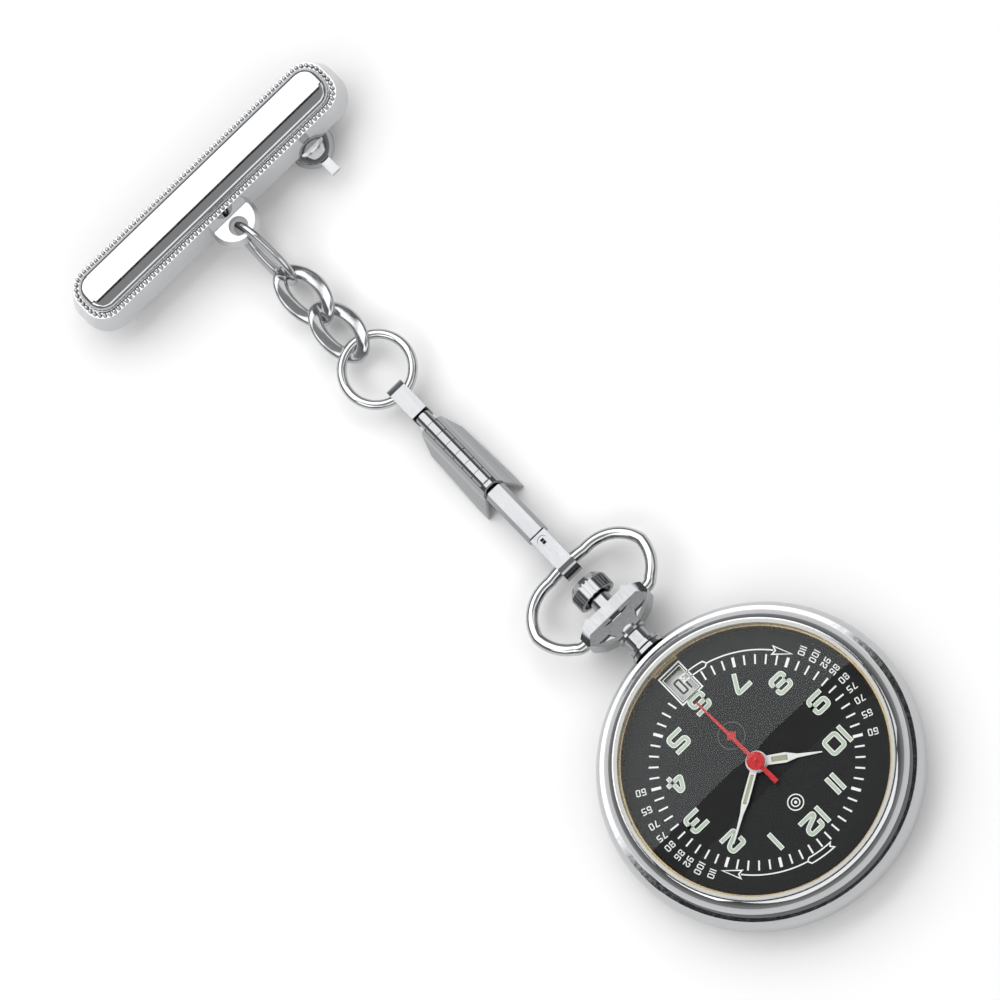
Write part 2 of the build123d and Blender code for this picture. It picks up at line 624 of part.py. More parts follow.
def make_pendant():
    """The neck with its collars and the boat-shaped head that holds the bow."""
    outline = [
        (16.1, 2.0), (16.5, 1.95), (16.6, 1.5), (16.75, 1.72), (17.15, 1.66), (17.25, NECK_RADIUS),
        (18.45, NECK_RADIUS), (18.55, 1.62), (18.8, 1.66), (18.95, 1.35), (19.1, 1.5),
        (19.6, 1.35), (19.6, 0), (16.1, 0),
    ]
    flat = Polyline(*[(radius, along) for along, radius in outline], close=True)
    neck = Pos(0, 0, STEM_HEIGHT) * Rot(-90, 0, 0) * revolve(
        Plane.XZ * make_face(flat), Axis.Z
    )
    neck -= case_outer()
    side = HEAD_HALF_WIDTH
    plan = Polyline(
        (1.3, HEAD_START), (3.0, 19.5), (side, 20.5), (side, 21.6), (2.35, 22.6), (2.15, HEAD_TOP),
        (-2.15, HEAD_TOP), (-2.35, 22.6), (-side, 21.6), (-side, 20.5), (-3.0, 19.5),
        (-1.3, HEAD_START), close=True,
    )
    slab = Pos(0, 0, STEM_HEIGHT - HEAD_HALF_DEPTH) * extrude(make_face(plan), 2 * HEAD_HALF_DEPTH)
    profile = Polyline(
        (HEAD_START, -1.2), (21.1, -HEAD_HALF_DEPTH), (23, -HEAD_HALF_DEPTH),
        (23, HEAD_HALF_DEPTH), (21.1, HEAD_HALF_DEPTH), (HEAD_START, 1.2), close=True,
    )
    wedge = Pos(-5, 0, STEM_HEIGHT) * extrude(Plane.YZ * make_face(profile), 10)
    barrel = Pos(0, 21, STEM_HEIGHT) * Rot(90, 0, 0) * scale(Cylinder(1, 8), (5.3, 2.6, 1))
    head = slab & wedge & barrel
    head -= rod_y(CROWN_PIPE_RADIUS + 0.25, 21.3, 24)
    head -= Pos(0, 20.85, 5.15) * scale(Cylinder(1, 0.4), (1.75, 0.3, 1))
    head -= block(-0.6, 0.6, 20.72, 21.0, 4.5, 6)
    for side_sign in (1, -1):
        corner_cut = Polyline(
            (1.35 * side_sign, 19.25), (3.2 * side_sign, 19.95), (1.75 * side_sign, 19.95), close=True
        )
        head -= Pos(0, 0, 4.5) * extrude(make_face(corner_cut), 2)
    head -= rod_x(BOW_WIRE_RADIUS + BOW_HOLE_CLEARANCE, -5, -2.6, BOW_PIVOT_Y, STEM_HEIGHT)
    head -= rod_x(BOW_WIRE_RADIUS + BOW_HOLE_CLEARANCE, 2.6, 5, BOW_PIVOT_Y, STEM_HEIGHT)
    return neck + head - rod_y(TUBE_RADIUS, 14, 21.3)


def make_bow():
    """The pear-shaped wire bow whose ends turn in the pendant head."""
    rise = BOW_WIDEST_Y - BOW_PIVOT_Y
    crown = BOW_TOP_Y - BOW_PIVOT_Y
    end = 2.75
    right = (BOW_HALF_WIDTH, rise)
    left = (-BOW_HALF_WIDTH, rise)
    parts = [
        Line((end, 0), (4.3, 0)),
        ThreePointArc((4.3, 0), (4.75, 0.12), (5.15, 0.45)),
        ThreePointArc((5.15, 0.45), (6.6, 2.15), right),
        ThreePointArc(right, (BOW_HALF_WIDTH * 0.72, rise + (crown - rise) * 0.78), (2.4, 7.56)),
        ThreePointArc((2.4, 7.56), (0, crown), (-2.4, 7.56)),
        ThreePointArc((-2.4, 7.56), (-BOW_HALF_WIDTH * 0.72, rise + (crown - rise) * 0.78), left),
        ThreePointArc(left, (-6.6, 2.15), (-5.15, 0.45)),
        ThreePointArc((-5.15, 0.45), (-4.75, 0.12), (-4.3, 0)),
        Line((-4.3, 0), (-end, 0)),
    ]
    path = Wire(parts)
    section = Plane(origin=(end, 0, 0), z_dir=(1, 0, 0)) * Circle(BOW_WIRE_RADIUS)
    wire = sweep(section, path=path, transition=Transition.ROUND)
    return Pos(0, BOW_PIVOT_Y, STEM_HEIGHT) * Rot(-BOW_DROOP, 0, 0) * wire


# ---- clip ----
def strip_bend(centre_y, side):
    """A half-round turn of the clip strip, towards -Y (side -1) or +Y (side +1)."""
    ring = Cylinder(CLIP_HALF_DEPTH, 2 * CLIP_HALF_WIDTH)
    ring -= Cylinder(CLIP_HALF_DEPTH - STRIP, 2 * CLIP_HALF_WIDTH + 1)
    bend = Pos(0, centre_y, CHAIN_HEIGHT) * Rot(0, 90, 0) * ring
    keep = Pos(0, centre_y + side * 5, CHAIN_HEIGHT) * Box(10, 10, 10)
    return bend & keep


def make_clip_body():
    """The folded strip: hook at the bow, back rail, loop at the ring, and channel."""
    low = CHAIN_HEIGHT - CLIP_HALF_DEPTH
    high = CHAIN_HEIGHT + CLIP_HALF_DEPTH
    side = CLIP_HALF_WIDTH
    body = strip_bend(HOOK_BEND_Y, -1)
    body += block(-side, side, HOOK_BEND_Y, HOOK_TIP_Y, high - STRIP, high)
    body += block(-side, side, HOOK_BEND_Y, RING_BEND_Y, low, low + STRIP)
    body += strip_bend(RING_BEND_Y, 1)
    body += block(-side, side, CHANNEL_END_Y, RING_BEND_Y, high - STRIP, high)
    body += block(-side, side, CHANNEL_END_Y, CHANNEL_END_Y + STRIP, low, high)
    body -= disc(DIMPLE_RADIUS, high - DIMPLE_DEPTH, high + 1, 0, DIMPLE_Y)
    return body - block(-0.2, 0.2, DIMPLE_Y - 0.3, DIMPLE_Y + 0.3, high - 1, high + 1)


def gate_outline(grow):
    """The section of the gate channel, with sloping shoulders, shrunk by a wall thickness."""
    low = CHAIN_HEIGHT - CLIP_HALF_DEPTH + STRIP + 0.06
    high = CHAIN_HEIGHT + CLIP_HALF_DEPTH - grow
    side = GATE_HALF_WIDTH - grow
    face = GATE_FACE_HALF_WIDTH - grow / 2
    return Polyline(
        (-side, low - grow), (-side, high - 0.55), (-face, high), (face, high),
        (side, high - 0.55), (side, low - grow), close=True,
    )


def make_clip_gate():
    """The sliding channel that closes the mouth of the hook, with its tongue under the slide."""
    high = CHAIN_HEIGHT + CLIP_HALF_DEPTH
    plane = Plane(origin=(0, GATE_START_Y, 0), x_dir=(1, 0, 0), z_dir=(0, -1, 0))
    length = GATE_SHOULDER_Y - GATE_START_Y
    gate = extrude(plane * make_face(gate_outline(0.0)), -length)
    gate -= Pos(0, -1, 0) * extrude(plane * make_face(gate_outline(0.3)), -length - 2)
    half = GATE_TONGUE_HALF_WIDTH
    return gate + block(-half, half, GATE_SHOULDER_Y - 0.6, GATE_END_Y, high - 0.7, high - 0.25)


def bell_outline(grow):
    """The bell-shaped section of the slide, grown inwards by a wall thickness."""
    return Polyline(
        (-2.42 + grow, 0.15), (-2.1 + grow, 1.2), (-1.42 + grow, 2.6), (-1.22 + grow, 3.35),
        (-0.85 + grow * 0.7, 3.95 - grow * 0.6), (-0.4, 4.22 - grow), (0.4, 4.22 - grow),
        (0.85 - grow * 0.7, 3.95 - grow * 0.6), (1.22 - grow, 3.35), (1.42 - grow, 2.6),
        (2.1 - grow, 1.2), (2.42 - grow, 0.15), close=True,
    )


def make_clip_slide():
    """The finger slide, a ribbed back with flared wings and a slanted open end."""
    length = SLIDE_END_Y - SLIDE_START_Y
    plane = Plane(origin=(0, SLIDE_START_Y, 0), x_dir=(1, 0, 0), z_dir=(0, -1, 0))
    shell = extrude(plane * make_face(bell_outline(0.0)), -length)
    inner = extrude(plane * make_face(bell_outline(0.3)), -length - 2)
    shell -= Pos(0, -1, 0) * inner
    shell -= block(-3, 3, SLIDE_START_Y - 2, SLIDE_END_Y + 2, -1, 0.2)
    tip = Polyline((37, 5), (37, 0), (38.0, 0), (39.9, 5), close=True)
    shell -= Pos(-5, 0, 0) * extrude(Plane.YZ * make_face(tip), 10)
    for mirror_side in (1, -1):
        taper = Polyline((3 * mirror_side, 36), (2.46 * mirror_side, 38.5),
                         (2.1 * mirror_side, 46.6), (1.3 * mirror_side, 48.6),
                         (3 * mirror_side, 50), close=True)
        shell -= Pos(0, 0, -1) * extrude(make_face(taper), 8)
    shell += rib_back()
    return shell


def rib_back():
    """The half-round ribbed back along the top of the slide."""
    top = 4.22
    body = None
    for step in range(RIB_COUNT):
        start = RIB_START_Y + step * RIB_PITCH
        segment = rod_y(0.85, start, start + RIB_PITCH - 0.1, z=top - 0.55)
        core = rod_y(0.74, start - 0.05, start + RIB_PITCH, z=top - 0.55)
        piece = segment + core
        body = piece if body is None else body + piece
    return body & block(-2, 2, 38, 52, top - 0.3, top + 2)


# ---- ring, chain and bar ----
def make_jump_ring():
    """The round jump ring between the clip and the chain."""
    return Pos(0, RING_CENTRE_Y, CHAIN_HEIGHT) * Torus(RING_RADIUS, RING_WIRE_RADIUS)


def curb_link(centre_y, tilt):
    """One curb link, turned about the line of the chain."""
    link = stadium_link(LINK_LENGTH, LINK_WIDTH, LINK_WIRE_RADIUS)
    return Pos(0, centre_y, CHAIN_HEIGHT) * Rot(0, tilt, 0) * link


def make_curb_link_lower():
    """The curb link nearer the jump ring."""
    return curb_link(LOWER_LINK_Y, LINK_TILT)


def make_curb_link_upper():
    """The curb link nearer the bar, leaning the other way."""
    return curb_link(UPPER_LINK_Y, -LINK_TILT)


def make_oval_link():
    """The long link that stands on edge and passes through the hanger lug."""
    link = Pos(0, -OVAL_LENGTH / 2 + OVAL_WIRE_RADIUS, 0) * stadium_link(
        OVAL_LENGTH, OVAL_WIDTH, OVAL_WIRE_RADIUS
    )
    return Pos(0, OVAL_TOP_Y, OVAL_TOP_Z) * Rot(OVAL_SLOPE, 0, 0) * Rot(0, 90, 0) * link


def bar_plan(shrink):
    """The plan outline of the bar, set in by a distance."""
    return RectangleRounded(
        2 * (BAR_HALF_LENGTH - shrink), 2 * (BAR_HALF_WIDTH - shrink), BAR_CORNER - shrink * 0.8
    )


def bar_wall():
    """The flared wall of the bar as a filled block, standing on the XY plane."""
    return extrude(bar_plan(0.0), BAR_WALL_HEIGHT, taper=BAR_WALL_ANGLE)


def bar_dome():
    """The crowned top of the bar, with its edge rolled down to the ledge."""
    base = BAR_WALL_HEIGHT + 0.3
    crest = base + DOME_RISE
    dome = extrude(bar_plan(BAR_FLARE + 0.62), crest + 1)
    crown = Pos(0, 0, crest - DOME_CROWN_RADIUS) * Rot(0, 90, 0)
    dome &= crown * Cylinder(DOME_CROWN_RADIUS, 3 * BAR_HALF_LENGTH)
    rim = [edge for edge in dome.edges() if edge.center().Z > base]
    return fillet(rim, DOME_ROLL_RADIUS)


def make_bar_shell():
    """The hollow pressed bar: flared wall, stepped rim and crowned top."""
    outer = bar_wall()
    outer += Pos(0, 0, BAR_WALL_HEIGHT) * extrude(bar_plan(BAR_FLARE + 0.55), 0.35)
    hollow = extrude(bar_plan(BAR_SHEET), BAR_WALL_HEIGHT - 0.1, taper=BAR_WALL_ANGLE)
    shell = outer + bar_dome() - Pos(0, 0, -0.01) * hollow
    return Pos(0, BAR_CENTRE_Y, BAR_BOTTOM) * shell


def make_bar_back_plate():
    """The flat plate let into the open back of the bar."""
    plate = extrude(bar_plan(BAR_SHEET + 0.12), 0.4)
    plate = Pos(0, BAR_CENTRE_Y, BAR_BOTTOM) * plate
    return plate


def make_hanger_lug():
    """The half-round lug on the bar's wall, holed for the chain."""
    low = LUG_TOP - LUG_THICKNESS
    lug = Pos(0, LUG_CENTRE_Y, low) * Cone(
        LUG_RADIUS + 0.1, LUG_RADIUS - 0.25, LUG_THICKNESS, align=(Align.CENTER, Align.CENTER, Align.MIN)
    )
    lug &= block(-4, 4, 70, BAR_CENTRE_Y - BAR_HALF_WIDTH + 0.5, 0, 10)
    lug -= Pos(0, BAR_CENTRE_Y, BAR_BOTTOM) * bar_wall()
    lug -= disc(LUG_HOLE_RADIUS, 0, 10, 0, LUG_HOLE_Y)
    return lug


def make_pin_hinge():
    """The forked hinge block at the blind end of the pin."""
    half = HINGE_HALF_WIDTH
    fork = block(HINGE_X - 1.1, HINGE_X + 1.1, PIN_Y - half, PIN_Y + half, HINGE_BOTTOM, BAR_BOTTOM)
    gap = HINGE_EYE_WIDTH / 2 + 0.07
    fork -= block(HINGE_X - 2, HINGE_X + 2, PIN_Y - gap, PIN_Y + gap, 0, BAR_BOTTOM - 0.7)
    return fork - cross_rod(0.32, 6)


def cross_rod(radius, length):
    """A rod across the pin hinge, along Y."""
    return Pos(HINGE_X, PIN_Y, PIN_Z) * Rot(90, 0, 0) * Cylinder(radius, length)


def make_hinge_rivet():
    """The rivet through the pin hinge, with a flat head at each side."""
    width = 2 * HINGE_HALF_WIDTH
    heads = cross_rod(0.5, width + 0.3) - cross_rod(0.6, width)
    return cross_rod(0.3, width) + heads


def make_pin_stem():
    """The sharp steel pin with its flattened hinge eye."""
    eye = cross_rod(HINGE_EYE_RADIUS, HINGE_EYE_WIDTH)
    shaft = rod_x(PIN_RADIUS, HINGE_X + 0.5, PIN_TIP_X - 2.6, PIN_Y, PIN_Z)
    point = Pos(PIN_TIP_X - 1.3, PIN_Y, PIN_Z) * Rot(0, 90, 0) * Cone(PIN_RADIUS, 0.04, 2.6)
    return eye + shaft + point - cross_rod(0.35, 3)


def make_catch_housing():
    """The round safety catch, open below for the pin and slotted for the lever."""
    ball = Pos(CATCH_X, PIN_Y, PIN_Z) * scale(Sphere(1), CATCH_RADII)
    ball &= block(CATCH_X - 2.3, CATCH_X + 2.3, 70, 90, 0.0, BAR_BOTTOM)
    ball -= rod_x(LOCK_RADIUS + LOCK_CLEARANCE, CATCH_X - 1.5, CATCH_X + 1.5, PIN_Y, PIN_Z)
    ball -= rod_x(LOCK_BORE, CATCH_X - 4, CATCH_X + 4, PIN_Y, PIN_Z)
    ball -= block(CATCH_X - 4, CATCH_X + 4, PIN_Y - 0.7, PIN_Y + 0.7, -1, PIN_Z)
    slot = block(CATCH_X - 0.62, CATCH_X + 0.62, PIN_Y - 4, PIN_Y + 1.9, -1, PIN_Z + 0.75)
    return ball - slot


def make_catch_lock():
    """The turning lock inside the catch, with its lever."""
    lock = rod_x(LOCK_RADIUS, CATCH_X - 1.42, CATCH_X + 1.42, PIN_Y, PIN_Z)
    lock -= rod_x(LOCK_BORE, CATCH_X - 3, CATCH_X + 3, PIN_Y, PIN_Z)
    lock -= block(CATCH_X - 3, CATCH_X + 3, PIN_Y - 0.62, PIN_Y + 0.62, -2, PIN_Z)
    half = LEVER_WIDTH / 2
    lever = block(CATCH_X - half, CATCH_X + half, PIN_Y - LEVER_REACH, PIN_Y - 1.1,
                  PIN_Z, PIN_Z + 0.55)
    return lock + lever


PARTS = {
    "case_middle": make_case_middle,
    "case_back": make_case_back,
    "back_gasket": make_back_gasket,
    "bezel": make_bezel,
    "crystal": make_crystal,
    "crystal_gasket": make_crystal_gasket,
    "dial_ring": make_dial_ring,
    "dial": make_dial,
    "movement_holder": make_movement_holder,
    "main_plate": make_main_plate,
    "train_bridge": make_train_bridge,
    "bridge_screws": make_bridge_screws,
    "battery_cell": make_battery_cell,
    "battery_clip": make_battery_clip,
    "coil": make_coil,
    "stator": make_stator,
    "circuit_board": make_circuit_board,
    "quartz_can": make_quartz_can,
    "seconds_wheel": make_seconds_wheel,
    "third_wheel": make_third_wheel,
    "centre_wheel": make_centre_wheel,
    "minute_wheel": make_minute_wheel,
    "hour_wheel": make_hour_wheel,
    "intermediate_wheel": make_intermediate_wheel,
    "rotor": make_rotor,
    "date_disc": make_date_disc,
    "hour_hand": make_hour_hand,
    "minute_hand": make_minute_hand,
    "seconds_hand": make_seconds_hand,
    "clutch_wheel": make_clutch_wheel,
    "stem": make_stem,
    "crown": make_crown,
    "crown_gasket": make_crown_gasket,
    "crown_tube": make_crown_tube,
    "pendant": make_pendant,
    "bow": make_bow,
    "clip_body": make_clip_body,
    "clip_gate": make_clip_gate,
    "clip_slide": make_clip_slide,
    "jump_ring": make_jump_ring,
    "curb_link_lower": make_curb_link_lower,
    "curb_link_upper": make_curb_link_upper,
    "oval_link": make_oval_link,
    "bar_shell": make_bar_shell,
    "bar_back_plate": make_bar_back_plate,
    "hanger_lug": make_hanger_lug,
    "pin_hinge": make_pin_hinge,
    "hinge_rivet": make_hinge_rivet,
    "pin_stem": make_pin_stem,
    "catch_housing": make_catch_housing,
    "catch_lock": make_catch_lock,
}

os.makedirs("parts", exist_ok=True)
for name, make in PARTS.items():
    export_step(make(), f"parts/{name}.step")
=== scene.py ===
import math

import bpy
from mathutils import Matrix, Vector


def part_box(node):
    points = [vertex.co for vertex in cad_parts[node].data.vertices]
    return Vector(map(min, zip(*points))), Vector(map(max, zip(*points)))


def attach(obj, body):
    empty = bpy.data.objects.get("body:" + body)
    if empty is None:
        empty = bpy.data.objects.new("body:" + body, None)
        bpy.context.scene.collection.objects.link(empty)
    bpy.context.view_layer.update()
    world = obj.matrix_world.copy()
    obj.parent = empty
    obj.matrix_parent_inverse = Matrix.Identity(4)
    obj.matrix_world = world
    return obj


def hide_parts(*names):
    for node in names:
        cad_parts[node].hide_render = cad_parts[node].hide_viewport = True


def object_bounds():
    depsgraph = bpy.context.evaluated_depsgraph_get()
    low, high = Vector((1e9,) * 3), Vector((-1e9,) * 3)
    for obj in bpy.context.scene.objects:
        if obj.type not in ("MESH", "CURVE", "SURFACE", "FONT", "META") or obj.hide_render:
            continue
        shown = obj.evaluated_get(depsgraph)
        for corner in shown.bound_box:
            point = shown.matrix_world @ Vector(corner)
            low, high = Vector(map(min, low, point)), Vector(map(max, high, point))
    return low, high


# The looks of the fob watch. All lengths below are millimetres in the part's own frame,
# and they become metres only where a mesh, a light or the camera is made.
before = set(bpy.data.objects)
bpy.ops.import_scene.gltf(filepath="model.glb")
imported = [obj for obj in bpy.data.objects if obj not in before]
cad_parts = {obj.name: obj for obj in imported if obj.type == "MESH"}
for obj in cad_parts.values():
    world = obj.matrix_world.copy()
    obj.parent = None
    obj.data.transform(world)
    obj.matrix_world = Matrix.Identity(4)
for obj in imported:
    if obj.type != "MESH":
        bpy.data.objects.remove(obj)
cad_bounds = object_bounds()

MM = 0.001


# ---- places taken from the frame ----
def corners(node):
    """The low and high corners of a CAD node, in millimetres."""
    low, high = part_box(node)
    return Vector(low) / MM, Vector(high) / MM


DIAL_TOP = corners("dial")[1].z
DATE_DISC_TOP = corners("date_disc")[1].z
DATE_RADIUS = 11.1

# ---- hands, as set in the frame ----
HOUR_HAND_ANGLE = 306
MINUTE_HAND_ANGLE = 58.5
HOUR_LUME = (1.55, 3.05, 0.24)
MINUTE_LUME = (1.45, 4.35, 0.155)
LUME_INSET = (0.02, 0.03)
HAND_CAP = ((0.30, -0.02), (0.30, 0.03), (0.22, 0.07), (0.08, 0.09))
CAP_STEPS = 24

# ---- dial artwork ----
PRINT_LIFT = 0.012
NUMERAL_RING = 8.3
NUMERAL_SIZE = (1.50, 1.62)
NUMERAL_STROKE = 0.30
NUMERAL_OUTLINE = 0.48
NUMERAL_GAP = 0.2
QUARTER_HOURS = (3, 6, 9, 12)
QUARTER_SHIFT = 0.12
OTHER_SHIFT = -0.1
TICK_INNER = 9.85
TICK_OUTER = 10.85
TICK_WIDTH = 0.18
TICK_BOLD = 0.30
WINDOW_MINUTES = (29, 30, 31)
PULSE_RATES = (110, 100, 92, 86, 80, 75, 70, 65, 60)
PULSE_BEATS = 20
PULSE_RING = 11.92
PULSE_SIZE = (0.34, 0.60)
PULSE_STROKE = 0.11
PULSE_GAP = 0.13
ARROW_RING = 11.3
ARROW_STROKE = 0.14
ARROW_TAIL = (1.5, 15)
ARROW_TAIL_NOTCH = 3.0
ARROW_TAIL_TIP = 16.5
ARROW_TAIL_SPREAD = (0.36, 0.28)
ARROW_SHAFT = (17, 51)
ARROW_BARB_SPREAD = 0.42
ARROW_BARB_NOTCH = 52.5
ARROW_TIP = 61
DATE_FRAMES = ((1.34, 9.42, 12.95, 0.16), (1.13, 9.65, 12.62, 0.08))
RING_MARK_CENTRE = (0, 3.75)
RING_MARK_RADIUS = 1.36
RING_MARK_STROKE = 0.09
DIAMOND_RADIUS = 0.62
DOT_MARK_CENTRE = (0, -5.65)
DOT_MARK_RINGS = (0.80, 0.42)
DOT_MARK_STROKE = 0.12
DOT_RADIUS = 0.16
DATE_SIZE = (0.62, 1.45)
DATE_STROKE = 0.2
DATE_GAP = 0.22
DATES = 31
DATE_SHOWN = 10

# ---- crystal ----
GLASS_GLOSS = 0.022
GLANCE_POWER = 5.0
GLASS_FADE = (0.1, 0.2)


# ---- materials ----
def node_tree(name):
    """A new material with only a Principled shader wired to its output."""
    made = bpy.data.materials.new(name)
    made.use_nodes = True
    nodes = made.node_tree.nodes
    nodes.clear()
    output = nodes.new("ShaderNodeOutputMaterial")
    shader = nodes.new("ShaderNodeBsdfPrincipled")
    made.node_tree.links.new(shader.outputs["BSDF"], output.inputs["Surface"])
    return made, made.node_tree, shader


def object_point(tree, stretch=(1, 1, 1)):
    """Object coordinates, stretched along each axis."""
    point = tree.nodes.new("ShaderNodeTexCoord")
    mapping = tree.nodes.new("ShaderNodeMapping")
    mapping.inputs["Scale"].default_value = stretch
    tree.links.new(point.outputs["Object"], mapping.inputs["Vector"])
    return mapping.outputs["Vector"]


def noise(tree, vector, scale, detail=4.0, roughness=0.55):
    """A noise value from 0 to 1."""
    made = tree.nodes.new("ShaderNodeTexNoise")
    made.inputs["Scale"].default_value = scale
    made.inputs["Detail"].default_value = detail
    made.inputs["Roughness"].default_value = roughness
    tree.links.new(vector, made.inputs["Vector"])
    return made.outputs["Fac"]


def ranged(tree, value, low, high, start=0.3, end=0.7):
    """A value stretched from one range to another."""
    made = tree.nodes.new("ShaderNodeMapRange")
    made.inputs["From Min"].default_value = start
    made.inputs["From Max"].default_value = end
    made.inputs["To Min"].default_value = low
    made.inputs["To Max"].default_value = high
    tree.links.new(value, made.inputs["Value"])
    return made.outputs["Result"]


def two_colours(tree, value, first, second):
    """A colour between two others."""
    made = tree.nodes.new("ShaderNodeMix")
    made.data_type = "RGBA"
    tree.links.new(value, made.inputs["Factor"])
    made.inputs["A"].default_value = (*first, 1)
    made.inputs["B"].default_value = (*second, 1)
    return made.outputs["Result"]


def bumped(tree, shader, height, distance, strength=0.3, edge=0.0):
    """Fine relief from a height value, over edges softened by the given radius."""
    bump = tree.nodes.new("ShaderNodeBump")
    bump.inputs["Strength"].default_value = strength
    bump.inputs["Distance"].default_value = distance * MM
    tree.links.new(height, bump.inputs["Height"])
    if edge:
        bevel = tree.nodes.new("ShaderNodeBevel")
        bevel.inputs["Radius"].default_value = edge * MM
        tree.links.new(bevel.outputs["Normal"], bump.inputs["Normal"])
    tree.links.new(bump.outputs["Normal"], shader.inputs["Normal"])


def surface(name, first, second, metal, rough, stretch=(1, 1, 1), scale=900, relief=0.01, edge=0.0):
    """A worn surface: two close colours, uneven gloss and fine relief."""
    made, tree, shader = node_tree(name)
    vector = object_point(tree, stretch)
    broad = noise(tree, vector, scale / 4, 3)
    fine = noise(tree, vector, scale * 3, 5)
    tree.links.new(two_colours(tree, broad, first, second), shader.inputs["Base Color"])
    tree.links.new(ranged(tree, fine, rough[0], rough[1]), shader.inputs["Roughness"])
    shader.inputs["Metallic"].default_value = metal
    bumped(tree, shader, fine, relief, edge=edge)
    return made


def chrome_material():
    """Mirror-polished chrome plate with faint hairlines from handling."""
    return surface(
        "polished_chrome", (0.55, 0.555, 0.565), (0.49, 0.495, 0.505), 1.0, (0.03, 0.07),
        scale=700, relief=0.0002, edge=0.07
    )


def clip_material():
    """Chrome on small pressed and ribbed parts, duller and finely streaked along the chain."""
    return surface(
        "pressed_chrome", (0.40, 0.405, 0.415), (0.29, 0.295, 0.305), 1.0, (0.07, 0.16),
        stretch=(1, 0.15, 1), scale=2600, relief=0.0006
    )


def chain_material():
    """Chrome with the flatter sheen of tumbled links."""
    return surface(
        "tumbled_chrome", (0.52, 0.525, 0.535), (0.42, 0.425, 0.44), 1.0, (0.10, 0.20),
        scale=900, relief=0.0012, edge=0.08
    )


def back_material():
    """Steel with rings of fine brushing about the watch axis."""
    made, tree, shader = node_tree("back_steel")
    vector = object_point(tree)
    rings = tree.nodes.new("ShaderNodeTexWave")
    rings.wave_type = "RINGS"
    rings.rings_direction = "Z"
    rings.inputs["Scale"].default_value = 1500
    rings.inputs["Distortion"].default_value = 3.0
    rings.inputs["Detail"].default_value = 3.0
    tree.links.new(vector, rings.inputs["Vector"])
    tree.links.new(ranged(tree, noise(tree, vector, 300), 0.20, 0.34), shader.inputs["Roughness"])
    tone = two_colours(tree, noise(tree, vector, 120), (0.70, 0.71, 0.73), (0.60, 0.61, 0.63))
    tree.links.new(tone, shader.inputs["Base Color"])
    shader.inputs["Metallic"].default_value = 1.0
    bumped(tree, shader, rings.outputs["Fac"], 0.003, 0.25)
    return made


def crystal_material():
    """Clear mineral crystal: see-through, with reflections that grow towards its edge."""
    made, tree, shader = node_tree("crystal")
    output = next(n for n in tree.nodes if n.type == "OUTPUT_MATERIAL")
    vector = object_point(tree)
    smears = noise(tree, vector, 160, 5)
    shader.inputs["Base Color"].default_value = (0.9, 0.95, 0.96, 1)
    shader.inputs["Metallic"].default_value = 1.0
    tree.links.new(ranged(tree, smears, 0.0, 0.01), shader.inputs["Roughness"])
    clear = tree.nodes.new("ShaderNodeBsdfTransparent")
    clear.inputs["Color"].default_value = (0.985, 0.99, 0.99, 1)
    facing = tree.nodes.new("ShaderNodeLayerWeight")
    grazing = tree.nodes.new("ShaderNodeMath")
    grazing.operation = "POWER"
    grazing.inputs[1].default_value = GLANCE_POWER
    tree.links.new(facing.outputs["Facing"], grazing.inputs[0])
    gloss = ranged(tree, grazing.outputs["Value"], GLASS_GLOSS, 1.0, 0.0, 1.0)
    height = tree.nodes.new("ShaderNodeSeparateXYZ")
    tree.links.new(vector, height.inputs["Vector"])
    underside = corners("crystal")[0].z * MM
    outside = tree.nodes.new("ShaderNodeMath")
    outside.operation = "MULTIPLY"
    start, end = (underside + fade * MM for fade in GLASS_FADE)
    above = ranged(tree, height.outputs["Z"], 0.0, 1.0, start, end)
    tree.links.new(above, outside.inputs[0])
    tree.links.new(gloss, outside.inputs[1])
    mixed = tree.nodes.new("ShaderNodeMixShader")
    tree.links.new(outside.outputs["Value"], mixed.inputs["Fac"])
    tree.links.new(clear.outputs["BSDF"], mixed.inputs[1])
    tree.links.new(shader.outputs["BSDF"], mixed.inputs[2])
    tree.links.new(mixed.outputs["Shader"], output.inputs["Surface"])
    return made


def dial_material():
    """Black dial lacquer, almost matt."""
    made, tree, shader = node_tree("dial_black")
    vector = object_point(tree)
    patches = noise(tree, vector, 150, 3)
    tone = two_colours(tree, patches, (0.006, 0.006, 0.0065), (0.009, 0.009, 0.0095))
    tree.links.new(tone, shader.inputs["Base Color"])
    tree.links.new(ranged(tree, noise(tree, vector, 90, 2), 0.42, 0.50), shader.inputs["Roughness"])
    shader.inputs["Specular IOR Level"].default_value = 0.2
    return made


def painted(name, first, second, rough):
    """A non-metal surface with a little grain."""
    return surface(name, first, second, 0.0, rough, scale=800, relief=0.003, edge=0.03)


def copper_material():
    """Lacquered copper wire wound in close turns."""
    made, tree, shader = node_tree("coil_copper")
    vector = object_point(tree)
    turns = tree.nodes.new("ShaderNodeTexWave")
    turns.bands_direction = "DIAGONAL"
    turns.inputs["Scale"].default_value = 4000
    turns.inputs["Distortion"].default_value = 0.4
    tree.links.new(vector, turns.inputs["Vector"])
    tone = two_colours(tree, turns.outputs["Fac"], (0.55, 0.20, 0.07), (0.80, 0.38, 0.16))
    tree.links.new(tone, shader.inputs["Base Color"])
    tree.links.new(ranged(tree, noise(tree, vector, 800), 0.22, 0.36), shader.inputs["Roughness"])
    shader.inputs["Metallic"].default_value = 1.0
    bumped(tree, shader, turns.outputs["Fac"], 0.03, 0.5)
    return made


